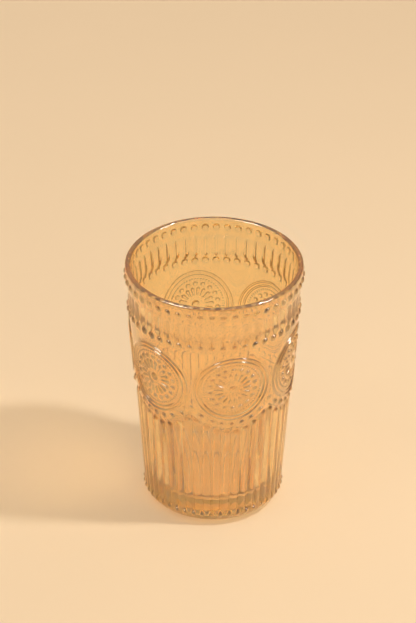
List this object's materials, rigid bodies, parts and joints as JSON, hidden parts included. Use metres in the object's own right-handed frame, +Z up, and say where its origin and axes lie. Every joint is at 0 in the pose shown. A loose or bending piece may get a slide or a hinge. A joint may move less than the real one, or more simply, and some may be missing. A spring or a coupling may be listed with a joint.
{
  "type": "drinking glass",
  "caption": "Tapered pressed-glass tumbler with bead rows, fluted bands, beaded swags and round rosette medallions in relief on its wall, a thick base and a rounded lip.",
  "frame": {"origin": "middle of the foot, on the plane of the flat ring that the glass stands on", "axes": "+Z up along the glass's axis of symmetry; -Y runs through the middle of one medallion, and the others follow at equal angles"},
  "size_m": [0.0846, 0.0846, 0.1288],
  "materials": {
    "glass": "clear pale amber soda-lime glass, glossy and fire polished, with a faint lilac sheen"
  },
  "bodies": {
    "root": {"base": "glass", "wall": "glass", "lip": "glass", "rim_band": "glass", "upper_beads": "glass", "upper_ribs": "glass", "lower_beads": "glass", "medallion_band": "glass", "swag_panels": "glass", "medallion_ridges": "glass", "medallion_dots": "glass", "medallion_pearls": "glass", "medallion_petals": "glass", "medallion_bosses": "glass", "swag_beads": "glass", "lower_ribs": "glass", "heel_beads": "glass"}
  },
  "joints": []
}
